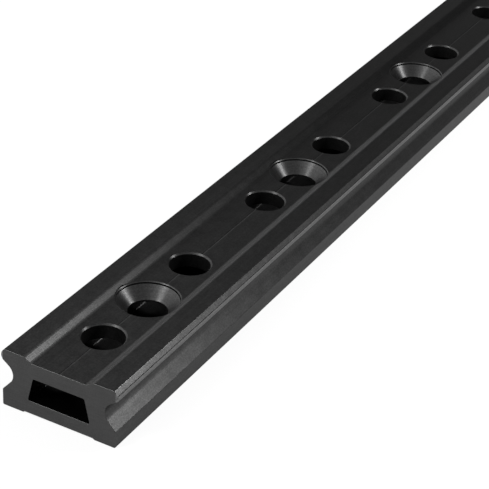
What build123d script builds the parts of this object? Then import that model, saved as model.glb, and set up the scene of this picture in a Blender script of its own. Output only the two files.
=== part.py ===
"""Hollow ball-bearing traveller track for a sailing boat, 41 mm wide, one length of extruded aluminium.

The bar is drawn as its cross-section and run out to stock length, then worked as the real stock is: saw cut,
noses of the wings filed back at both ends, bolt holes drilled and countersunk, stop holes drilled and their
rims broken. X runs across the track, Y along it, Z up. The origin is on the centre line, halfway along, on
the plane that the foot rests on. All sizes are in millimetres and degrees.
"""

import os
from math import acos, atan2, cos, hypot, radians, sin, tan

from build123d import *

os.makedirs("parts", exist_ok=True)

# Stock length
track_length = 997.0

# Wings: the head that the car hooks over
track_height = 19.8
head_width = 41.2
nose_bevel_width = 1.12
nose_bevel_drop = 1.45
nose_edge_round = 0.3
nose_face_lean = 0.38
nose_face_height = 1.5
nose_round = 0.7

# Channel along the top, which keeps the bolt heads below the shoulders
channel_top_width = 24.4
channel_floor_width = 19.2
channel_depth = 1.5
channel_round = 0.9
shoulder_round = 0.9
scribe_width = 0.4
scribe_depth = 0.08

# Ball races, one down each side
race_gauge = 32.0
race_radius = 4.0
race_lift = 0.2

# Foot
foot_width = 39.5
foot_edge_height = 5.6
foot_round = 0.5
relief_width = 25.0
relief_depth = 0.4
relief_ramp = 0.6

# Hollow
floor_wall = 4.9
roof_wall = 5.2
hollow_floor_width = 21.7
hollow_roof_width = 17.8
hollow_round = 0.6

# Countersunk bolt holes
bolt_pitch = 100.0
bolt_end_distance = 48.5
bolt_hole_diameter = 12.7
countersink_diameter = 20.0
countersink_angle = 90.0
head_ledge_depth = 0.8
head_ledge_width = 0.2
head_rim_break = 0.3

# Stop holes, through the roof of the hollow only
stop_pitch = 50.0
stop_end_distance = 23.5
stop_hole_diameter = 13.5
stop_rim_break = 0.5

# Wing ends, filed back so that a car's balls run on without catching
filed_across = 1.1
filed_along = 0.6

channel_floor_height = track_height - channel_depth
head_ledge_height = channel_floor_height - head_ledge_depth
hollow_roof_height = channel_floor_height - roof_wall
overcut = 2.0


def row_positions(end_distance: float, pitch: float) -> list[tuple[float, float]]:
    """Centres of a row of holes that starts at the same distance from both ends of the bar."""
    span = track_length - 2 * end_distance
    steps = round(span / pitch)
    first = -steps * pitch / 2
    return [(0, first + pitch * step) for step in range(steps + 1)]


def turned_cutter(profile: list[tuple[float, float]]) -> Part:
    """Round cutting tool on the Z axis, from the radius and height of each corner of its edge."""
    bottom = profile[0][1]
    top = profile[-1][1]
    with BuildPart() as cutter:
        with BuildSketch(Plane.XZ):
            with BuildLine():
                Polyline((0, bottom), *profile, (0, top), close=True)
            make_face()
        revolve(axis=Axis.Z)
    return cutter.part


def tangent_point(
    centre: tuple[float, float], radius: float, outside: tuple[float, float], turn: int
) -> tuple[float, float]:
    """Where the line from an outside point touches a circle, on its left (turn 1) or right (turn -1)."""
    run = outside[0] - centre[0]
    rise = outside[1] - centre[1]
    angle = atan2(rise, run) + turn * acos(radius / hypot(run, rise))
    return (centre[0] + radius * cos(angle), centre[1] + radius * sin(angle))


def corners_at(sketch: Sketch, *places: tuple[float, float]) -> list[Vertex]:
    """The section's corners at these places, right side and left."""
    found = []
    for x, height in places:
        for side in (-1, 1):
            found.append(sketch.vertices().sort_by_distance((side * x, height))[0])
    return found


# Corners of the outer section, right-hand side. The ball runs a little above midway between the nose and the
# foot's edge, and the race arc opens into a slope to each of them.
foot_half = foot_width / 2
foot_corner = (foot_half, foot_edge_height)
nose_half = head_width / 2
nose_high = (nose_half - nose_face_lean, track_height - nose_bevel_drop)
nose_low = (nose_half, nose_high[1] - nose_face_height)
shoulder_half = nose_high[0] - nose_bevel_width
race_height = (nose_low[1] + foot_corner[1]) / 2 + race_lift
race_centre = (race_gauge / 2 + race_radius, race_height)
race_high = tangent_point(race_centre, race_radius, nose_low, 1)
race_low = tangent_point(race_centre, race_radius, foot_corner, -1)
shoulder_edge = (channel_top_width / 2, track_height)
channel_corner = (channel_floor_width / 2, channel_floor_height)
relief_half = relief_width / 2

with BuildSketch() as section:
    with BuildLine() as outline:
        Polyline(
            (0, relief_depth),
            (relief_half - relief_ramp, relief_depth),
            (relief_half, 0),
            (foot_half, 0),
            foot_corner,
            race_low,
        )
        ThreePointArc(race_low, (race_gauge / 2, race_height), race_high)
        Polyline(
            race_high,
            nose_low,
            nose_high,
            (shoulder_half, track_height),
            shoulder_edge,
            channel_corner,
            (scribe_width / 2, channel_floor_height),
            (0, channel_floor_height - scribe_depth),
        )
        mirror(about=Plane.YZ)
    make_face()
    fillet(corners_at(section.sketch, nose_low), radius=nose_round)
    fillet(corners_at(section.sketch, nose_high), radius=nose_edge_round)
    fillet(corners_at(section.sketch, foot_corner, (foot_half, 0)), radius=foot_round)
    fillet(corners_at(section.sketch, channel_corner), radius=channel_round)
    fillet(corners_at(section.sketch, shoulder_edge), radius=shoulder_round)

hollow_floor = hollow_floor_width / 2
hollow_roof = hollow_roof_width / 2
with BuildSketch() as hollow:
    with BuildLine():
        Polyline(
            (-hollow_floor, floor_wall),
            (hollow_floor, floor_wall),
            (hollow_roof, hollow_roof_height),
            (-hollow_roof, hollow_roof_height),
            close=True,
        )
    make_face()
    fillet(hollow.vertices(), radius=hollow_round)

# Countersink cutter: bolt hole through both walls, cone, ledge and short wall, then the rim broken at 45
# degrees. Above the channel floor it goes on straight and bites a little into the sides of the channel.
bolt_radius = bolt_hole_diameter / 2
cone_radius = countersink_diameter / 2
cone_height = (cone_radius - bolt_radius) / tan(radians(countersink_angle / 2))
wall_radius = cone_radius + head_ledge_width
rim_radius = wall_radius + head_rim_break
above = track_height + overcut
bolt_cutter = turned_cutter(
    [
        (bolt_radius, -overcut),
        (bolt_radius, head_ledge_height - cone_height),
        (cone_radius, head_ledge_height),
        (wall_radius, head_ledge_height),
        (wall_radius, channel_floor_height - head_rim_break),
        (rim_radius, channel_floor_height),
        (rim_radius, above),
    ]
)

# Stop hole cutter: opens into the hollow, rim broken at 45 degrees
stop_radius = stop_hole_diameter / 2
stop_rim = stop_radius + stop_rim_break
stop_cutter = turned_cutter(
    [
        (stop_radius, (floor_wall + hollow_roof_height) / 2),
        (stop_radius, channel_floor_height - stop_rim_break),
        (stop_rim, channel_floor_height),
        (stop_rim, above),
    ]
)

with BuildPart() as track:
    with BuildSketch(Plane.XZ):
        add(section.sketch)
        add(hollow.sketch, mode=Mode.SUBTRACT)
    extrude(amount=track_length / 2, both=True)

    # Filed corner of each nose, the same at both ends, down to the middle of the race
    end = track_length / 2
    with BuildSketch(Plane.XY.offset(race_height)):
        with BuildLine():
            Polyline(
                (nose_half - 2 * filed_across, end + filed_along),
                (nose_half + filed_across, end + filed_along),
                (nose_half + filed_across, end - 2 * filed_along),
                close=True,
            )
        make_face()
        mirror(about=Plane.YZ)
        mirror(about=Plane.XZ)
    extrude(amount=above, mode=Mode.SUBTRACT)

    with Locations(*row_positions(bolt_end_distance, bolt_pitch)):
        add(bolt_cutter, mode=Mode.SUBTRACT)
    with Locations(*row_positions(stop_end_distance, stop_pitch)):
        add(stop_cutter, mode=Mode.SUBTRACT)

track_extrusion = track.part.solid()
track_extrusion.label = "track_extrusion"
export_step(track_extrusion, "parts/track_extrusion.step")
print(f"volume {track_extrusion.volume:.0f} mm3, faces {len(track_extrusion.faces())}")
print(f"box {track_extrusion.bounding_box().size}")
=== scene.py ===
"""Looks of a hollow ball-bearing sail track, a bar of black anodised aluminium 997 mm long.

The bar lies along Y with its channel up and its foot on Z = 0. Sizes are written in millimetres and turned to
metres where a shape is made.
"""

import logging
import math
from dataclasses import dataclass, replace
from enum import Enum
from typing import Callable

import bpy
from mathutils import Matrix, Vector


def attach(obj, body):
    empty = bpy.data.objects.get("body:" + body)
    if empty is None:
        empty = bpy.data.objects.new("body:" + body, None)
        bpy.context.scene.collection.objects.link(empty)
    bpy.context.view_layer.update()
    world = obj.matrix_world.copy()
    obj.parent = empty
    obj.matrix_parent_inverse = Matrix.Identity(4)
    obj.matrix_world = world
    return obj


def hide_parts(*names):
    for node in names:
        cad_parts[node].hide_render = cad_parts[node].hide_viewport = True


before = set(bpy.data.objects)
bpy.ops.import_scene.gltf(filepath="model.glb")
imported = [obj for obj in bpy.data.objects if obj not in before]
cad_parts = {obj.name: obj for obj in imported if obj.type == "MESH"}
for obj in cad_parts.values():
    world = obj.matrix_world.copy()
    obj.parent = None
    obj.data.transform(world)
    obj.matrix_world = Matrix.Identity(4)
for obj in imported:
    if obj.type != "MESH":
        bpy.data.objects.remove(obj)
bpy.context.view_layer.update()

logging.basicConfig(level=logging.INFO, format="%(message)s")
log = logging.getLogger("track")

MM = 0.001


class Surface(Enum):
    """How a face was made, or its painted highlight or shade, in the order of its material slots."""

    EXTRUDED = 0
    SAWN = 1
    COUNTERSUNK = 2
    DRILLED = 3
    FILED = 4
    BURNISHED = 5
    HOLLOW = 6
    LINE = 7
    BORED = 8
    RUBBED = 9


class Marks(Enum):
    """Way that the fine marks of a process run."""

    ALONG_BAR = "along the bar"
    ROUND_HOLE = "round each hole"
    ACROSS_END = "across the end"


def linear(hex_colour: str) -> tuple[float, float, float, float]:
    """Turn an sRGB colour to the linear values that a shader takes.

    Args:
        hex_colour: Six hex digits, with or without a leading hash.

    Returns:
        Red, green, blue and an alpha of one.
    """
    digits = hex_colour.lstrip("#")
    channels = [int(digits[i : i + 2], 16) / 255 for i in (0, 2, 4)]
    values = [c / 12.92 if c <= 0.04045 else ((c + 0.055) / 1.055) ** 2.4 for c in channels]
    return (values[0], values[1], values[2], 1.0)


def add_node(
    tree: bpy.types.NodeTree,
    kind: str,
    settings: dict[str, object] | None = None,
    inputs: dict[str | int, object] | None = None,
) -> bpy.types.Node:
    """Add one node with its settings, values and links.

    Args:
        tree: Node tree that gets the node.
        kind: Node type's identifier.
        settings: Properties of the node by name.
        inputs: For each input, by name or number, a value or the output that feeds it.

    Returns:
        The new node.
    """
    node = tree.nodes.new(kind)
    for key, value in (settings or {}).items():
        setattr(node, key, value)
    for key, value in (inputs or {}).items():
        if isinstance(value, bpy.types.NodeSocket):
            tree.links.new(value, node.inputs[key])
        else:
            node.inputs[key].default_value = value
    return node


def combine(
    tree: bpy.types.NodeTree, operation: str, *values: bpy.types.NodeSocket | float
) -> bpy.types.NodeSocket:
    """Work out one value from others in a math node.

    Args:
        tree: Node tree that gets the node.
        operation: What is done with the values.
        values: Numbers, or the outputs that give them.

    Returns:
        Output with the result.
    """
    return add_node(tree, "ShaderNodeMath", {"operation": operation}, dict(enumerate(values))).outputs[0]


# Range that nearly all of a noise's values keep to.
NOISE_SPAN = (0.3, 0.7)
# A highlight is stretched along the tangent. A quarter turn puts it across the marks instead.
QUARTER_TURN = 0.25


@dataclass(frozen=True)
class AnodisedFinish:
    """Black anodised aluminium: a dyed oxide film, so dark, neutral and satin, with the metal's marks in it.

    The marks stretch a highlight across their own direction. The etch leaves a fine grit, and the dye is a
    little cloudy. Sizes are in millimetres, and a tone is how far the colour swings either side of its own.
    """

    name: str
    colour: str
    roughness: float
    stretch: float
    marks: Marks = Marks.ALONG_BAR
    mark_spacing: float = 0.7
    mark_length: float = 150.0
    mark_depth: float = 0.005
    mark_tone: float = 0.11
    hole_pitch: float = 0.0
    cloud_size: float = 4.0
    cloud_tone: float = 0.05
    grit_size: float = 0.5
    grit_tone: float = 0.2
    slant_tone: float = 0.7

    def rings(
        self, tree: bpy.types.NodeTree, place: bpy.types.NodeSocket
    ) -> tuple[bpy.types.NodeSocket, bpy.types.NodeSocket]:
        """Measure a place from the nearest hole of the row.

        Args:
            tree: Node tree of the material.
            place: Output with the place on the object.

        Returns:
            Output with the distance from the hole's axis and the height, and the direction round the hole.
        """
        half = self.hole_pitch * MM / 2
        parts = add_node(tree, "ShaderNodeSeparateXYZ", inputs={0: place})
        from_first = combine(tree, "SUBTRACT", parts.outputs["Y"], half)
        from_nearest = combine(tree, "WRAP", from_first, half, -half)
        spoke = add_node(tree, "ShaderNodeCombineXYZ", inputs={"X": parts.outputs["X"], "Y": from_nearest})
        radius = add_node(tree, "ShaderNodeVectorMath", {"operation": "LENGTH"}, {0: spoke.outputs[0]})
        ring = add_node(
            tree, "ShaderNodeCombineXYZ", inputs={"X": radius.outputs["Value"], "Z": parts.outputs["Z"]}
        )
        way = add_node(
            tree, "ShaderNodeVectorMath", {"operation": "CROSS_PRODUCT"}, {0: (0, 0, 1), 1: spoke.outputs[0]}
        )
        return ring.outputs[0], way.outputs["Vector"]

    def grain(self, tree: bpy.types.NodeTree, place: bpy.types.NodeSocket) -> tuple[object, object]:
        """Lay out the marks.

        Args:
            tree: Node tree of the material.
            place: Output with the place on the object.

        Returns:
            Output with the place measured in marks, and the direction that they run in.
        """
        across = 1 / (self.mark_spacing * MM)
        along = 1 / (self.mark_length * MM)
        scale = (across, along, across)
        way = (0, 1, 0)
        if self.marks is Marks.ROUND_HOLE:
            place, way = self.rings(tree, place)
        elif self.marks is Marks.ACROSS_END:
            scale = (along, across, across)
            way = (1, 0, 0)
        run = add_node(tree, "ShaderNodeMapping", inputs={"Vector": place, "Scale": scale})
        return run.outputs["Vector"], way

    @staticmethod
    def noise(
        tree: bpy.types.NodeTree, place: bpy.types.NodeSocket, scale: float, detail: float, roughness: float
    ) -> bpy.types.NodeSocket:
        """Add a noise.

        Args:
            tree: Node tree of the material.
            place: Output with the place that it is read at.
            scale: Patches to one unit of the place.
            detail: Number of finer layers.
            roughness: Strength of each finer layer against the one before.

        Returns:
            Output with the noise.
        """
        values = {"Vector": place, "Scale": scale, "Detail": detail, "Roughness": roughness}
        return add_node(tree, "ShaderNodeTexNoise", inputs=values).outputs["Fac"]

    @staticmethod
    def tone(
        tree: bpy.types.NodeTree, pattern: bpy.types.NodeSocket, swing: float
    ) -> bpy.types.NodeSocket:
        """Turn a noise to a factor around one.

        Args:
            tree: Node tree of the material.
            pattern: Output of the noise.
            swing: How far the factor goes either side of one.

        Returns:
            Output with the factor.
        """
        low, high = NOISE_SPAN
        values = {
            "Value": pattern,
            "From Min": low,
            "From Max": high,
            "To Min": 1 - swing,
            "To Max": 1 + swing,
        }
        return add_node(tree, "ShaderNodeMapRange", inputs=values).outputs["Result"]

    def make(self) -> bpy.types.Material:
        """Build the material.

        Returns:
            A node material that reads Object coordinates only.
        """
        material = bpy.data.materials.new(self.name)
        material.use_nodes = True
        tree = material.node_tree
        shader = tree.nodes["Principled BSDF"]
        place = add_node(tree, "ShaderNodeTexCoord").outputs["Object"]
        in_marks, way = self.grain(tree, place)
        lines = self.noise(tree, in_marks, scale=1.0, detail=3.0, roughness=0.6)
        clouds_per_metre = 1 / (self.cloud_size * MM)
        clouds = self.noise(tree, place, scale=clouds_per_metre, detail=4.0, roughness=0.55)
        grit_per_metre = 1 / (self.grit_size * MM)
        grit = self.noise(tree, place, scale=grit_per_metre, detail=1.0, roughness=0.5)
        line_tone = self.tone(tree, lines, self.mark_tone)
        cloud_tone = self.tone(tree, clouds, self.cloud_tone)
        grit_tone = self.tone(tree, grit, self.grit_tone)
        dyed = combine(tree, "MULTIPLY", combine(tree, "MULTIPLY", line_tone, cloud_tone), grit_tone)
        colour = add_node(
            tree,
            "ShaderNodeVectorMath",
            settings={"operation": "SCALE"},
            inputs={0: linear(self.colour)[:3], "Scale": dyed},
        )
        sheen = combine(tree, "MULTIPLY", cloud_tone, self.roughness)
        bump = add_node(
            tree,
            "ShaderNodeBump",
            inputs={"Strength": 1.0, "Distance": self.mark_depth * MM, "Height": lines},
        )
        turned = add_node(
            tree,
            "ShaderNodeVectorTransform",
            settings={"vector_type": "VECTOR", "convert_from": "OBJECT", "convert_to": "WORLD"},
            inputs={"Vector": way},
        )
        shader.inputs["Metallic"].default_value = 1.0
        shader.inputs["Specular Tint"].default_value = (*[self.slant_tone] * 3, 1.0)
        shader.inputs["Anisotropic"].default_value = self.stretch
        shader.inputs["Anisotropic Rotation"].default_value = QUARTER_TURN
        tree.links.new(colour.outputs["Vector"], shader.inputs["Base Color"])
        tree.links.new(sheen, shader.inputs["Roughness"])
        tree.links.new(bump.outputs["Normal"], shader.inputs["Normal"])
        tree.links.new(turned.outputs["Vector"], shader.inputs["Tangent"])
        return material


# Extruded faces keep the die's lines along the bar, 0.3 mm apart at their finest and drawn 0.7 mm apart so
# that they show. They spread a highlight across the bar and cut it short along it, so the near end glints and
# the rest goes dark.
EXTRUDED_FINISH = AnodisedFinish("black_anodised_extruded", "#383838", roughness=0.35, stretch=0.72)
# The saw leaves a duller, even grey face with faint strokes across it, and the etch softens them.
SAWN_FINISH = AnodisedFinish(
    "black_anodised_sawn",
    "#424242",
    roughness=0.46,
    stretch=0.3,
    marks=Marks.ACROSS_END,
    mark_spacing=0.5,
    mark_length=7.0,
    mark_depth=0.004,
    mark_tone=0.08,
    grit_tone=0.08,
)
# The countersink leaves rings round each hole, about 0.2 mm apart, drawn 0.45 mm apart. They draw the light
# out to narrow rays down the cone.
COUNTERSUNK_FINISH = AnodisedFinish(
    "black_anodised_countersunk",
    "#474747",
    roughness=0.48,
    stretch=0.9,
    marks=Marks.ROUND_HOLE,
    mark_spacing=0.45,
    mark_length=30.0,
    mark_depth=0.004,
    mark_tone=0.25,
    hole_pitch=100.0,
)
# The broken rims of the stop holes have the same rings, a little fainter, so a rim glints only in places.
DRILLED_FINISH = replace(
    COUNTERSUNK_FINISH, name="black_anodised_drilled", colour="#424242", mark_tone=0.15, hole_pitch=50.0
)
# The bores themselves stay dull as the drill left them, and their colour is painted dark: painted shade in
# the bores.
BORE_SHADE_FINISH = replace(
    DRILLED_FINISH,
    name="black_anodised_bore_painted_shade",
    colour="#2c2c2c",
    roughness=0.52,
    stretch=0.0,
    mark_tone=0.12,
)
# The file's strokes are short and bright.
FILED_FINISH = AnodisedFinish(
    "black_anodised_filed",
    "#5c5c5c",
    roughness=0.34,
    stretch=0.3,
    marks=Marks.ACROSS_END,
    mark_spacing=0.4,
    mark_length=4.0,
    mark_depth=0.006,
    mark_tone=0.15,
)
# The noses, the bar's outermost faces, get a painted highlight and show as a light line along the bar.
HIGHLIGHTED_NOSE_FINISH = replace(
    EXTRUDED_FINISH, name="black_anodised_nose_painted_highlight", colour="#5c5c5c", mark_depth=0.006, mark_tone=0.10
)
# The bevels above them get a weaker painted highlight, and so does the shallow side of the scribed line.
SLANT_HIGHLIGHT_FINISH = replace(EXTRUDED_FINISH, name="black_anodised_slant_painted_highlight", colour="#444444")
# Inside the hollow the colour is darker, as painted shade. At this roughness little stray light comes back
# out of the holes.
HOLLOW_SHADE_FINISH = AnodisedFinish(
    "black_anodised_hollow_painted_shade", "#2e2e2e", roughness=0.42, stretch=0.5, mark_depth=0.006, mark_tone=0.14
)
# The fine groove under the bevel and the scribed line's steep side are painted nearly black: painted shade.
GROOVE_SHADE_FINISH = AnodisedFinish(
    "black_anodised_groove_painted_shade", "#080808", roughness=0.6, stretch=0.0, mark_depth=0.0, mark_tone=0.05
)

FINISHES = {
    Surface.EXTRUDED: EXTRUDED_FINISH,
    Surface.SAWN: SAWN_FINISH,
    Surface.COUNTERSUNK: COUNTERSUNK_FINISH,
    Surface.DRILLED: DRILLED_FINISH,
    Surface.FILED: FILED_FINISH,
    Surface.BURNISHED: HIGHLIGHTED_NOSE_FINISH,
    Surface.HOLLOW: HOLLOW_SHADE_FINISH,
    Surface.LINE: GROOVE_SHADE_FINISH,
    Surface.BORED: BORE_SHADE_FINISH,
    Surface.RUBBED: SLANT_HIGHLIGHT_FINISH,
}

# Points closer than this, in millimetres, are one point.
ONE_POINT = 0.001
# A drawn corner is found within this distance, in millimetres.
CORNER_REACH = 0.002
# Facets of a rounded corner.
ROUND_FACETS = 6
# A face looks a way when its normal goes that way by at least this part.
LOOKING = 0.9
# Faces that meet at less than this angle, in degrees, are shaded as one round.
ROUND_BELOW = 28


def object_mode() -> None:
    """Leave edit mode if it is on."""
    if bpy.context.object is not None and bpy.context.object.mode != "OBJECT":
        bpy.ops.object.mode_set(mode="OBJECT")


def choose_only(first: bpy.types.Object, *others: bpy.types.Object) -> None:
    """Make some objects the only selected ones.

    Args:
        first: Object that becomes the active one.
        others: The rest of them.
    """
    object_mode()
    bpy.ops.object.select_all(action="DESELECT")
    for piece in (first, *others):
        piece.select_set(True)
    bpy.context.view_layer.objects.active = first


def join(pieces: list[bpy.types.Object]) -> bpy.types.Object:
    """Join objects to one.

    Args:
        pieces: The objects, of which the first takes in the others.

    Returns:
        The joined object.
    """
    choose_only(*pieces)
    bpy.ops.object.join()
    return bpy.context.object


def edit_elements(piece: bpy.types.Object, kind: str, wanted: Callable[[object], bool]) -> None:
    """Go to edit mode with some elements of a mesh selected.

    Args:
        piece: Object to edit.
        kind: VERT or FACE.
        wanted: Says of a vertex or a face whether it is selected.
    """
    choose_only(piece)
    mesh = piece.data
    for group in (mesh.polygons, mesh.edges, mesh.vertices):
        for element in group:
            element.select = False
    for element in mesh.polygons if kind == "FACE" else mesh.vertices:
        element.select = wanted(element)
    bpy.ops.object.mode_set(mode="EDIT")
    bpy.ops.mesh.select_mode(type=kind)


def edit_vertices(piece: bpy.types.Object, wanted: Callable[[Vector], bool]) -> None:
    """Go to edit mode with the vertices at some places selected.

    Args:
        piece: Object to edit.
        wanted: Says of a vertex's place, in metres, whether it is selected.
    """
    edit_elements(piece, "VERT", lambda vertex: wanted(vertex.co))


def edit_faces(piece: bpy.types.Object, wanted: Callable[[bpy.types.MeshPolygon], bool]) -> None:
    """Go to edit mode with some faces selected.

    Args:
        piece: Object to edit.
        wanted: Says of a face whether it is selected.
    """
    edit_elements(piece, "FACE", wanted)


def tangent_point(
    centre: tuple[float, float], radius: float, outside: tuple[float, float], turn: int
) -> tuple[float, float]:
    """Find where the line from an outside point touches a circle.

    Args:
        centre: Circle's centre.
        radius: Circle's radius.
        outside: Point outside the circle.
        turn: 1 for the touch on the left of the line, -1 for the right.

    Returns:
        The point of touch.
    """
    run = outside[0] - centre[0]
    rise = outside[1] - centre[1]
    angle = math.atan2(rise, run) + turn * math.acos(radius / math.hypot(run, rise))
    return (centre[0] + radius * math.cos(angle), centre[1] + radius * math.sin(angle))


@dataclass(frozen=True)
class Rounding:
    """A corner of the section that gets a radius, with the corners before and after it."""

    before: tuple[float, float]
    corner: tuple[float, float]
    after: tuple[float, float]
    radius: float

    def setback(self) -> float:
        """Distance from the corner at which its round starts."""
        arriving = Vector(self.corner) - Vector(self.before)
        leaving = Vector(self.after) - Vector(self.corner)
        return self.radius * math.tan(arriving.angle(leaving) / 2)


class Pencil:
    """Draws a chain of edges in the XZ plane by extruding one point from place to place."""

    def __init__(self, name: str, start: tuple[float, float], along: float = 0.0) -> None:
        """Put down the first point.

        Args:
            name: Name of the object that the chain belongs to.
            start: First point, across and up, in millimetres.
            along: Place of the drawing plane on Y, in millimetres.
        """
        object_mode()
        bpy.ops.object.select_all(action="DESELECT")
        bpy.ops.mesh.primitive_plane_add(size=MM, location=(0, 0, 0))
        self.piece = bpy.context.object
        self.piece.name = name
        self.piece.data.name = name
        self.here = Vector((start[0], along, start[1]))
        bpy.ops.object.mode_set(mode="EDIT")
        bpy.ops.mesh.select_mode(type="VERT")
        bpy.ops.mesh.select_all(action="SELECT")
        bpy.ops.mesh.merge(type="CENTER")
        bpy.ops.transform.translate(value=self.here * MM)

    def line_to(self, *points: tuple[float, float]) -> None:
        """Draw straight on to one point after another."""
        for across, up in points:
            there = Vector((across, self.here.y, up))
            bpy.ops.mesh.extrude_region_move(TRANSFORM_OT_translate={"value": (there - self.here) * MM})
            self.here = there

    def arc_to(self, end: tuple[float, float], centre: tuple[float, float], steps: int) -> None:
        """Draw the shorter arc round a centre.

        Args:
            end: Where the arc stops.
            centre: Centre of the arc.
            steps: Number of edges in it.
        """
        first = math.atan2(self.here.z - centre[1], self.here.x - centre[0])
        last = math.atan2(end[1] - centre[1], end[0] - centre[0])
        sweep = (last - first + math.pi) % (2 * math.pi) - math.pi
        middle = (centre[0] * MM, self.here.y * MM, centre[1] * MM)
        bpy.ops.mesh.spin(steps=steps, angle=sweep, center=middle, axis=(0, 1, 0))
        self.here = Vector((end[0], self.here.y, end[1]))

    def lift(self) -> bpy.types.Object:
        """Leave edit mode with doubled points merged.

        Returns:
            The object drawn.
        """
        bpy.ops.mesh.select_all(action="SELECT")
        bpy.ops.mesh.remove_doubles(threshold=ONE_POINT * MM)
        object_mode()
        return self.piece


@dataclass
class TrackBar:
    """The bar as it leaves the press and the saw: section, hollow and length, in millimetres."""

    length: float = 997.0
    height: float = 19.8
    head_width: float = 41.2
    nose_bevel_width: float = 1.12
    nose_bevel_drop: float = 1.45
    nose_face_lean: float = 0.38
    nose_face_height: float = 1.5
    nose_round: float = 0.7
    channel_top_width: float = 24.2
    channel_floor_width: float = 19.2
    channel_depth: float = 1.5
    channel_round: float = 2.2
    shoulder_round: float = 2.2
    shoulder_edge_round: float = 0.25
    scribe_width: float = 0.6
    scribe_depth: float = 0.06
    scribe_offset: float = 0.45
    scribe_lean: float = 0.25
    race_gauge: float = 32.0
    race_radius: float = 4.0
    race_lift: float = 0.2
    race_steps: int = 28
    foot_width: float = 39.5
    foot_edge_height: float = 5.6
    foot_round: float = 0.5
    relief_width: float = 25.0
    relief_depth: float = 0.4
    relief_ramp: float = 0.6
    floor_wall: float = 4.9
    roof_wall: float = 5.2
    hollow_floor_width: float = 21.7
    hollow_roof_width: float = 17.8
    hollow_round: float = 0.6
    die_line_reach: float = 0.1
    die_line_depth: float = 0.12
    arris: float = 0.05

    @property
    def channel_floor(self) -> float:
        """Height of the channel's floor."""
        return self.height - self.channel_depth

    @property
    def hollow_roof(self) -> float:
        """Height of the hollow's roof."""
        return self.channel_floor - self.roof_wall

    @property
    def nose_high(self) -> tuple[float, float]:
        """Corner between the bevel and the face of the nose, on the right."""
        return (self.head_width / 2 - self.nose_face_lean, self.height - self.nose_bevel_drop)

    @property
    def race_height(self) -> float:
        """Height of the balls' middle, a little above midway between the nose and the foot's edge."""
        nose_low = self.nose_high[1] - self.nose_face_height
        return (nose_low + self.foot_edge_height) / 2 + self.race_lift

    def half_section(self) -> bpy.types.Object:
        """Draw the right-hand half of the outer section, corners rounded.

        Returns:
            A chain of edges from the middle of the foot round to the middle of the channel.
        """
        foot = (self.foot_width / 2, self.foot_edge_height)
        toe = (self.foot_width / 2, 0.0)
        nose_high = self.nose_high
        nose_low = (self.head_width / 2, nose_high[1] - self.nose_face_height)
        race = (self.race_gauge / 2 + self.race_radius, self.race_height)
        race_high = tangent_point(race, self.race_radius, nose_low, 1)
        race_low = tangent_point(race, self.race_radius, foot, -1)
        edge = (nose_high[0] - self.nose_bevel_width, self.height)
        shoulder = (self.channel_top_width / 2, self.height)
        floor = (self.channel_floor_width / 2, self.channel_floor)
        relief = (self.relief_width / 2, 0.0)
        scribe = (self.scribe_width / 2, self.channel_floor)
        pencil = Pencil("track_section", (0.0, self.relief_depth), self.arris - self.length / 2)
        pencil.line_to((relief[0] - self.relief_ramp, self.relief_depth), relief, toe, foot, race_low)
        pencil.arc_to(race_high, race, self.race_steps)
        pencil.line_to(nose_low, *self.die_line(nose_low, nose_high, edge), edge, shoulder, floor, scribe)
        pencil.line_to((0.0, self.channel_floor - self.scribe_depth))
        drawn = pencil.lift()
        for rounding in (
            Rounding(relief, toe, foot, self.foot_round),
            Rounding(toe, foot, race_low, self.foot_round),
            Rounding(race_high, nose_low, nose_high, self.nose_round),
            Rounding(nose_high, edge, shoulder, self.shoulder_edge_round),
            Rounding(edge, shoulder, floor, self.shoulder_round),
            Rounding(shoulder, floor, scribe, self.channel_round),
        ):
            self.round_corner(drawn, rounding)
        return drawn

    def die_line(
        self, below: tuple[float, float], corner: tuple[float, float], above: tuple[float, float]
    ) -> list[tuple[float, float]]:
        """Place the fine groove that runs along the corner under the bevel.

        Args:
            below: Corner of the section below this one.
            corner: The corner that the groove takes the place of.
            above: Corner of the section above it.

        Returns:
            The groove's lower edge, bottom and upper edge.
        """
        middle = Vector(corner)
        down = (Vector(below) - middle).normalized()
        up = (Vector(above) - middle).normalized()
        inward = (down + up).normalized()
        places = (
            middle + down * self.die_line_reach,
            middle + inward * self.die_line_depth,
            middle + up * self.die_line_reach,
        )
        return [(place.x, place.y) for place in places]

    def slant_scribe(self, section: bpy.types.Object) -> None:
        """Lean the scribed line, steep on the left and shallow on the right, and move it off the middle.

        Args:
            section: The whole section's outline.
        """
        # A little more than half the line, so that its edges are in reach.
        reach = 0.6 * self.scribe_width * MM
        above = (self.channel_floor - 2 * self.scribe_depth) * MM
        bottom = (self.channel_floor - self.scribe_depth / 2) * MM
        edit_vertices(section, lambda place: abs(place.x) < reach and above < place.z < bottom)
        bpy.ops.transform.translate(value=(-self.scribe_lean * MM, 0, 0))
        edit_vertices(section, lambda place: abs(place.x) < reach and place.z > above)
        bpy.ops.transform.translate(value=(self.scribe_offset * MM, 0, 0))
        object_mode()

    def half_hollow(self) -> bpy.types.Object:
        """Draw the right-hand half of the hollow.

        Returns:
            A chain of edges from the middle of its floor to the middle of its roof.
        """
        low = (self.hollow_floor_width / 2, self.floor_wall)
        high = (self.hollow_roof_width / 2, self.hollow_roof)
        pencil = Pencil("track_hollow", (0.0, self.floor_wall), self.arris - self.length / 2)
        pencil.line_to(low, high, (0.0, self.hollow_roof))
        drawn = pencil.lift()
        self.round_corner(drawn, Rounding((0.0, low[1]), low, high, self.hollow_round))
        self.round_corner(drawn, Rounding(low, high, (0.0, high[1]), self.hollow_round))
        return drawn

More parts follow.
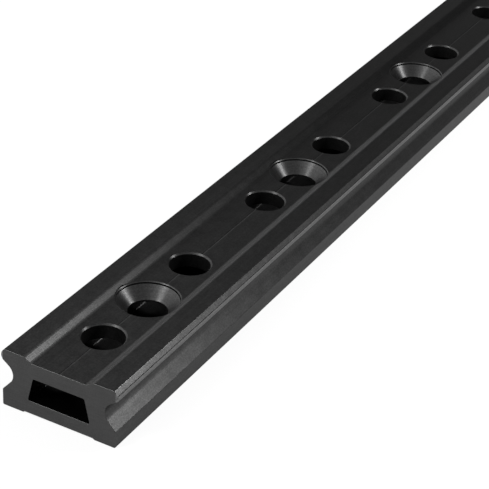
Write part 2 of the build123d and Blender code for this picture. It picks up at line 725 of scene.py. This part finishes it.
    @staticmethod
    def round_corner(piece: bpy.types.Object, rounding: Rounding) -> None:
        """Round one corner of a drawn chain.

        Args:
            piece: The chain.
            rounding: Which corner, and its radius.
        """
        corner = Vector((rounding.corner[0], 0, rounding.corner[1])) * MM
        reach = CORNER_REACH * MM
        edit_vertices(piece, lambda place: (Vector((place.x, 0, place.z)) - corner).length < reach)
        bpy.ops.mesh.bevel(
            offset_type="OFFSET",
            offset=rounding.setback() * MM,
            segments=ROUND_FACETS,
            profile=0.5,
            affect="VERTICES",
        )
        object_mode()

    def extrude(self) -> bpy.types.Object:
        """Make the solid bar from its section, with the arris of each sawn end taken off.

        Returns:
            The closed bar, without holes.
        """
        bar = join([self.half_section(), self.half_hollow()])
        bar.name = "track_bar"
        mirror = bar.modifiers.new("other_half", "MIRROR")
        mirror.use_axis = (True, False, False)
        mirror.use_clip = True
        mirror.merge_threshold = ONE_POINT * MM
        bpy.ops.object.modifier_apply(modifier=mirror.name)
        self.slant_scribe(bar)
        edit_vertices(bar, lambda place: True)
        bpy.ops.mesh.fill(use_beauty=True)
        bpy.ops.mesh.select_all(action="SELECT")
        run = (self.length - 2 * self.arris) * MM
        bpy.ops.mesh.extrude_region_move(TRANSFORM_OT_translate={"value": (0, run, 0)})
        bpy.ops.mesh.select_all(action="SELECT")
        bpy.ops.mesh.normals_make_consistent(inside=False)
        object_mode()
        for end in (-1, 1):
            edit_faces(bar, lambda face: end * face.normal.y > LOOKING)
            bpy.ops.mesh.inset(thickness=self.arris * MM, depth=0.0, use_even_offset=True)
            bpy.ops.transform.translate(value=(0, end * self.arris * MM, 0))
            object_mode()
        return bar


@dataclass
class HoleRow:
    """A row of like holes along the middle of the channel, and the tool that cuts them."""

    name: str
    pitch: float
    end_distance: float
    profile: tuple[tuple[float, float], ...]
    sides: int = 96

    @property
    def widest(self) -> float:
        """Largest radius of the tool."""
        return max(width for width, _ in self.profile)

    def tool(self) -> bpy.types.Object:
        """Turn the cutting tool from a cylinder at its lowest ring, drawn out ring by ring.

        Returns:
            The closed tool on the Z axis.

        Raises:
            ValueError: If the tool's lowest stretch isn't a plain cylinder.
        """
        object_mode()
        bpy.ops.object.select_all(action="DESELECT")
        (radius, bottom), (first_width, height) = self.profile[:2]
        if first_width != radius:
            raise ValueError(f"{self.name}: the tool's lowest stretch is a plain cylinder")
        first_rise = height - bottom
        bpy.ops.mesh.primitive_cylinder_add(
            vertices=self.sides,
            radius=radius * MM,
            depth=first_rise * MM,
            location=(0, 0, (bottom + first_rise / 2) * MM),
        )
        cutter = bpy.context.object
        cutter.name = self.name
        bpy.ops.object.transform_apply(location=True, rotation=True, scale=True)
        edit_faces(cutter, lambda face: face.normal.z > LOOKING)
        for width, up in self.profile[2:]:
            bpy.ops.mesh.extrude_region_move(TRANSFORM_OT_translate={"value": (0, 0, (up - height) * MM)})
            growth = width / radius
            bpy.ops.transform.resize(value=(growth, growth, 1), center_override=(0, 0, up * MM))
            radius = width
            height = up
        bpy.ops.mesh.select_all(action="SELECT")
        bpy.ops.mesh.normals_make_consistent(inside=False)
        object_mode()
        return cutter

    def places(self, length: float) -> list[float]:
        """Centres of the holes on Y.

        Args:
            length: Length of the bar.

        Returns:
            One place for each hole.
        """
        steps = round((length - 2 * self.end_distance) / self.pitch)
        return [self.pitch * (step - steps / 2) for step in range(steps + 1)]

    def tools(self, length: float) -> bpy.types.Object:
        """Copy the tool to every hole of the row.

        Args:
            length: Length of the bar.

        Returns:
            One object that holds every copy.
        """
        first = self.tool()
        copies = []
        for place in self.places(length):
            copy = first.copy()
            copy.data = first.data.copy()
            copy.data.transform(Matrix.Translation((0, place * MM, 0)))
            bpy.context.collection.objects.link(copy)
            copies.append(copy)
        bpy.data.objects.remove(first)
        return join(copies)


@dataclass
class FiledNoses:
    """The corner filed off each wing at both ends, so that a car's balls run on without catching."""

    across: float = 1.1
    along: float = 0.6
    block: float = 6.0

    def tools(self, bar: TrackBar) -> bpy.types.Object:
        """Build the four blocks that the filing takes away.

        Args:
            bar: The bar to be filed.

        Returns:
            One object that holds the four blocks.
        """
        slant = math.atan2(self.along, self.across)
        nose = bar.head_width / 2 - self.across / 2
        tip = bar.length / 2 - self.along / 2
        blocks = []
        for side in (-1, 1):
            for end in (-1, 1):
                outward = Vector((side * math.sin(slant), end * math.cos(slant), 0))
                centre = Vector((side * nose, end * tip, 0)) + outward * self.block / 2
                centre.z = bar.race_height + self.block
                object_mode()
                bpy.ops.object.select_all(action="DESELECT")
                bpy.ops.mesh.primitive_cube_add(
                    size=1,
                    location=centre * MM,
                    rotation=(0, 0, math.atan2(outward.y, outward.x)),
                    scale=(self.block * MM, self.block * MM, 2 * self.block * MM),
                )
                bpy.ops.object.transform_apply(location=True, rotation=True, scale=True)
                blocks.append(bpy.context.object)
        joined = join(blocks)
        joined.name = "filing_blocks"
        return joined


@dataclass
class Holes:
    """Sizes of the two kinds of hole, in millimetres."""

    bolt_diameter: float = 12.7
    bolt_pitch: float = 100.0
    bolt_end_distance: float = 48.5
    countersink_diameter: float = 20.0
    countersink_angle: float = 90.0
    ledge_depth: float = 0.8
    ledge_width: float = 0.2
    bolt_rim_break: float = 0.3
    stop_diameter: float = 13.5
    stop_pitch: float = 50.0
    stop_end_distance: float = 23.5
    stop_rim_break: float = 0.5
    overcut: float = 2.0

    def bolt_row(self, bar: TrackBar) -> HoleRow:
        """Countersunk holes, through both walls."""
        ledge = bar.channel_floor - self.ledge_depth
        bolt = self.bolt_diameter / 2
        cone = self.countersink_diameter / 2
        wall = cone + self.ledge_width
        rim = wall + self.bolt_rim_break
        cone_height = (cone - bolt) / math.tan(math.radians(self.countersink_angle / 2))
        profile = (
            (bolt, -self.overcut),
            (bolt, ledge - cone_height),
            (cone, ledge),
            (wall, ledge),
            (wall, bar.channel_floor - self.bolt_rim_break),
            (rim, bar.channel_floor),
            (rim, bar.height + self.overcut),
        )
        return HoleRow("bolt_tool", self.bolt_pitch, self.bolt_end_distance, profile)

    def stop_row(self, bar: TrackBar) -> HoleRow:
        """Plain holes with a broken rim, through the roof of the hollow."""
        radius = self.stop_diameter / 2
        profile = (
            (radius, (bar.floor_wall + bar.hollow_roof) / 2),
            (radius, bar.channel_floor - self.stop_rim_break),
            (radius + self.stop_rim_break, bar.channel_floor),
            (radius + self.stop_rim_break, bar.height + self.overcut),
        )
        return HoleRow("stop_tool", self.stop_pitch, self.stop_end_distance, profile)


@dataclass(frozen=True)
class Limits:
    """What tells one made surface, or painted highlight or shade, from another.

    Places are in millimetres, the facet's area in square millimetres, directions in parts of a unit normal.
    """

    end_reach: float = 1.5
    roof_margin: float = 0.01
    foot_skin: float = 0.5
    nose_bottom: float = 16.0
    hole_margin: float = 0.1
    hole_facet: float = 40.0
    sawn_along: float = 0.5
    filed_along: float = 0.3
    filed_across: float = 0.2
    filed_up: float = 0.2
    nose_up: float = 0.4
    scribe_steep: float = 0.6
    straight: float = 0.01
    squared: float = 0.001
    level: float = 0.98
    upright: float = 0.1


@dataclass
class Track:
    """The finished track: the bar with its holes, filed noses and finishes."""

    bar: TrackBar
    holes: Holes
    noses: FiledNoses
    limits: Limits = Limits()

    @staticmethod
    def cut(piece: bpy.types.Object, tool: bpy.types.Object) -> None:
        """Take a tool's shape out of the bar.

        Args:
            piece: The bar.
            tool: The tool, which is used up.
        """
        choose_only(piece)
        cutting = piece.modifiers.new("cut", "BOOLEAN")
        cutting.operation = "DIFFERENCE"
        cutting.solver = "EXACT"
        cutting.object = tool
        bpy.ops.object.modifier_apply(modifier=cutting.name)
        bpy.data.objects.remove(tool)

    def build(self) -> bpy.types.Object:
        """Model the track.

        Returns:
            The finished piece, riding on the CAD body.
        """
        piece = self.bar.extrude()
        for surface in Surface:
            piece.data.materials.append(FINISHES[surface].make())
        self.cut(piece, self.noses.tools(self.bar))
        self.cut(piece, self.holes.bolt_row(self.bar).tools(self.bar.length))
        self.cut(piece, self.holes.stop_row(self.bar).tools(self.bar.length))
        piece.name = "track_bar"
        piece.data.name = "track_bar"
        self.dress(piece)
        self.smooth(piece)
        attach(piece, "root")
        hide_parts("track_extrusion")
        return piece

    def hole_surface(self, face: bpy.types.MeshPolygon) -> Surface | None:
        """Tell how a face inside a hole was made; bore walls get painted shade.

        Args:
            face: A face of the finished bar.

        Returns:
            The kind of surface, or none if the face isn't in a hole.
        """
        limits = self.limits
        centre = face.center / MM
        across, along, up = (abs(part) for part in face.normal)
        turned = across > limits.squared and along > limits.squared or up < LOOKING
        if face.area >= limits.hole_facet * MM * MM or not turned or up >= limits.level:
            return None
        rows = (
            (self.holes.bolt_row(self.bar), Surface.COUNTERSUNK),
            (self.holes.stop_row(self.bar), Surface.DRILLED),
        )
        for row, surface in rows:
            place = min(row.places(self.bar.length), key=lambda y: abs(y - centre.y))
            if math.hypot(centre.x, centre.y - place) < row.widest + limits.hole_margin:
                # Bore walls take painted shade.
                return Surface.BORED if up < limits.upright else surface
        return None

    def surface_of(self, face: bpy.types.MeshPolygon) -> Surface:
        """Tell how a face was made, or which painted highlight or shade it gets, from its place and
        direction.

        Args:
            face: A face of the finished bar.

        Returns:
            The kind of surface, or its painted highlight or shade.
        """
        bar = self.bar
        limits = self.limits
        centre = face.center / MM
        off_middle = abs(centre.x)
        end_gap = bar.length / 2 - abs(centre.y)
        across, along, up = (abs(part) for part in face.normal)
        if end_gap < bar.arris / 2 and along > limits.sawn_along:
            return Surface.SAWN
        slanted = along > limits.filed_along and across > limits.filed_across and up < limits.filed_up
        if end_gap < limits.end_reach and slanted:
            return Surface.FILED
        # Faces in the hollow take its painted shade.
        in_height = limits.foot_skin < centre.z < bar.hollow_roof + limits.roof_margin
        if in_height and off_middle < bar.hollow_floor_width / 2:
            return Surface.HOLLOW
        # The groove under the bevel takes painted shade.
        from_corner = math.hypot(off_middle - bar.nose_high[0], centre.z - bar.nose_high[1])
        if from_corner < bar.die_line_depth and end_gap > limits.end_reach:
            return Surface.LINE
        # The scribed line's steep side takes painted shade, and its shallow side a painted highlight.
        in_scribe = bar.channel_floor - bar.scribe_depth < centre.z < bar.channel_floor
        if in_scribe and off_middle < 2 * bar.scribe_width and along < limits.straight:
            return Surface.LINE if across > limits.scribe_steep else Surface.RUBBED
        # The bevels take a painted highlight.
        if off_middle > bar.nose_high[0] - bar.nose_bevel_width and centre.z > bar.nose_high[1]:
            return Surface.RUBBED
        # The noses take a painted highlight.
        if off_middle > bar.foot_width / 2 and centre.z > limits.nose_bottom and up < limits.nose_up:
            return Surface.BURNISHED
        return self.hole_surface(face) or Surface.EXTRUDED

    def dress(self, piece: bpy.types.Object) -> None:
        """Give each face the finish of the way it was made, or its painted highlight or shade.

        Args:
            piece: The cut bar.
        """
        for face in piece.data.polygons:
            face.material_index = self.surface_of(face).value

    @staticmethod
    def smooth(piece: bpy.types.Object) -> None:
        """Shade rounds smooth and keep flats flat.

        Args:
            piece: The cut bar.
        """
        choose_only(piece)
        bpy.ops.object.shade_smooth_by_angle(angle=math.radians(ROUND_BELOW))
        weights = piece.modifiers.new("flats", "WEIGHTED_NORMAL")
        weights.keep_sharp = True
        bpy.ops.object.modifier_apply(modifier=weights.name)


@dataclass(frozen=True)
class SoftBox:
    """A square area lamp, in millimetres and watts."""

    name: str
    place: tuple[float, float, float]
    aim: tuple[float, float, float]
    size: float
    power: float

    def hang(self) -> None:
        """Hang the lamp where the camera doesn't see it."""
        data = bpy.data.lights.new(self.name, "AREA")
        data.shape = "SQUARE"
        data.size = self.size * MM
        data.energy = self.power
        box = bpy.data.objects.new(self.name, data)
        box.visible_camera = False
        bpy.context.collection.objects.link(box)
        here = Vector(self.place) * MM
        towards = Vector(self.aim) * MM - here
        box.location = here
        box.rotation_euler = towards.to_track_quat("-Z", "Y").to_euler()


# The key hangs on the right, behind the bar's near end. It lights the faces that lean to the right and draws
# the rays in the countersinks. The front box, on the left, lights the sawn end. The wide overhead box fills
# weakly from above.
SOFT_BOXES = (
    SoftBox("key_box", place=(438, 25, 513), aim=(10, -480, 15), size=100, power=5.1),
    SoftBox("front_box", place=(-430, -1058, 660), aim=(0, -450, 18), size=300, power=6.0),
    SoftBox("overhead_box", place=(-300, -900, 1300), aim=(0, -300, 0), size=900, power=5.0),
)


@dataclass(frozen=True)
class Fade:
    """A smooth change of brightness.

    It goes from the first to the last while its value goes from start to end.
    """

    start: float
    first: float
    end: float
    last: float

    def add(self, tree: bpy.types.NodeTree, value: bpy.types.NodeSocket) -> bpy.types.NodeSocket:
        """Add the fade to the world.

        Args:
            tree: Node tree of the world.
            value: Output that the brightness follows.

        Returns:
            Output with the brightness.
        """
        values = {
            "Value": value,
            "From Min": self.start,
            "From Max": self.end,
            "To Min": self.first,
            "To Max": self.last,
        }
        smooth = {"interpolation_type": "SMOOTHSTEP"}
        return add_node(tree, "ShaderNodeMapRange", smooth, values).outputs["Result"]


@dataclass
class Studio:
    """Floor, lamps, room and camera, in millimetres and degrees."""

    camera_place: tuple[float, float, float] = (231.4, -834.0, 304.6)
    azimuth: float = 27.42
    elevation: float = 30.62
    roll: float = 3.56
    lens: float = 127.0
    sensor: float = 36.0
    nearest: float = 10.0
    floor_side: float = 12000.0
    floor_drop: float = 0.1
    floor_seen: float = 0.88
    floor_mirrored: float = 0.62
    fill: float = 0.55
    wall: Fade = Fade(start=0.05, first=1.0, end=0.35, last=0.12)
    ceiling: Fade = Fade(start=0.6, first=0.0, end=0.85, last=0.9)
    left: Fade = Fade(start=-0.85, first=2.4, end=-0.4, last=0.0)
    towards_back: Fade = Fade(start=0.55, first=1.0, end=1.15, last=0.35)

    def floor(self) -> None:
        """Lay a plain pale floor that shows white and keeps a soft shadow."""
        object_mode()
        bpy.ops.object.select_all(action="DESELECT")
        bpy.ops.mesh.primitive_plane_add(size=self.floor_side * MM, location=(0, 0, -self.floor_drop * MM))
        sheet = bpy.context.object
        sheet.name = "studio_floor"
        material = bpy.data.materials.new("studio_paper")
        material.use_nodes = True
        tree = material.node_tree
        paper = tree.nodes["Principled BSDF"]
        paper.inputs["Base Color"].default_value = linear("#f4f4f4")
        paper.inputs["Roughness"].default_value = 0.9
        paper.inputs["Specular IOR Level"].default_value = 0.1
        glow = add_node(tree, "ShaderNodeEmission", inputs={"Color": linear("#ffffff"), "Strength": 1.0})
        path = add_node(tree, "ShaderNodeLightPath")
        seen = combine(tree, "MULTIPLY", path.outputs["Is Camera Ray"], self.floor_seen)
        mirrored = combine(tree, "MULTIPLY", path.outputs["Is Glossy Ray"], self.floor_mirrored)
        share = combine(tree, "MAXIMUM", seen, mirrored)
        mix = add_node(
            tree,
            "ShaderNodeMixShader",
            inputs={0: share, 1: paper.outputs["BSDF"], 2: glow.outputs["Emission"]},
        )
        tree.links.new(mix.outputs["Shader"], tree.nodes["Material Output"].inputs["Surface"])
        sheet.data.materials.append(material)

    @staticmethod
    def seen_rays(tree: bpy.types.NodeTree) -> bpy.types.NodeSocket:
        """Mark the rays that show a background: straight from the camera, or by gloss or glass.

        Args:
            tree: Node tree of a material or the world.

        Returns:
            Output that is 1 on those rays.
        """
        path = add_node(tree, "ShaderNodeLightPath")
        first = combine(tree, "MAXIMUM", path.outputs["Is Camera Ray"], path.outputs["Is Glossy Ray"])
        return combine(tree, "MAXIMUM", first, path.outputs["Is Transmission Ray"])

    def room(self) -> None:
        """Surround the floor with a grey room.

        It is light at the foot of its walls and overhead. The left side is lightest, and less so high up at
        the back, where the flats look, so that they stay dark.
        """
        world = bpy.data.worlds.new("studio_room")
        bpy.context.scene.world = world
        world.use_nodes = True
        tree = world.node_tree
        tree.nodes.clear()
        way = add_node(tree, "ShaderNodeTexCoord").outputs["Generated"]
        across, along, up = add_node(tree, "ShaderNodeSeparateXYZ", inputs={0: way}).outputs
        lower = combine(tree, "ADD", self.wall.add(tree, up), self.ceiling.add(tree, up))
        near = self.towards_back.add(tree, combine(tree, "ADD", along, up))
        window = combine(tree, "MULTIPLY", self.left.add(tree, across), near)
        light = combine(tree, "ADD", lower, window)
        walls = add_node(tree, "ShaderNodeBackground", inputs={"Color": linear("#ffffff"), "Strength": light})
        fill = add_node(
            tree, "ShaderNodeBackground", inputs={"Color": linear("#ffffff"), "Strength": self.fill}
        )
        mix = add_node(
            tree,
            "ShaderNodeMixShader",
            inputs={0: self.seen_rays(tree), 1: fill.outputs["Background"], 2: walls.outputs["Background"]},
        )
        out = add_node(tree, "ShaderNodeOutputWorld")
        tree.links.new(mix.outputs["Shader"], out.inputs["Surface"])

    def camera(self) -> None:
        """Set up the camera at the photograph's viewing angle."""
        data = bpy.data.cameras.new("product_camera")
        data.lens = self.lens
        data.sensor_width = self.sensor
        data.clip_start = self.nearest * MM
        eye = bpy.data.objects.new("product_camera", data)
        bpy.context.collection.objects.link(eye)
        around = math.radians(self.azimuth)
        above = math.radians(self.elevation)
        tilt = math.radians(self.roll)
        back = Vector(
            (math.sin(around) * math.cos(above), -math.cos(around) * math.cos(above), math.sin(above))
        )
        level = Vector((math.cos(around), math.sin(around), 0))
        upright = back.cross(level)
        right = math.cos(tilt) * level + math.sin(tilt) * upright
        top = -math.sin(tilt) * level + math.cos(tilt) * upright
        turned = Matrix((right, top, back)).transposed().to_4x4()
        eye.matrix_world = Matrix.Translation(Vector(self.camera_place) * MM) @ turned
        bpy.context.scene.camera = eye

    def build(self) -> None:
        """Set up the whole studio."""
        bpy.context.scene.view_settings.view_transform = "Standard"
        self.floor()
        self.room()
        for box in SOFT_BOXES:
            box.hang()
        self.camera()


def main() -> None:
    """Build the track and its studio in order, and report each piece."""
    track = Track(TrackBar(), Holes(), FiledNoses())
    piece = track.build()
    log.info("%s: %d faces", piece.name, len(piece.data.polygons))
    Studio().build()


if __name__ == "__main__":
    main()
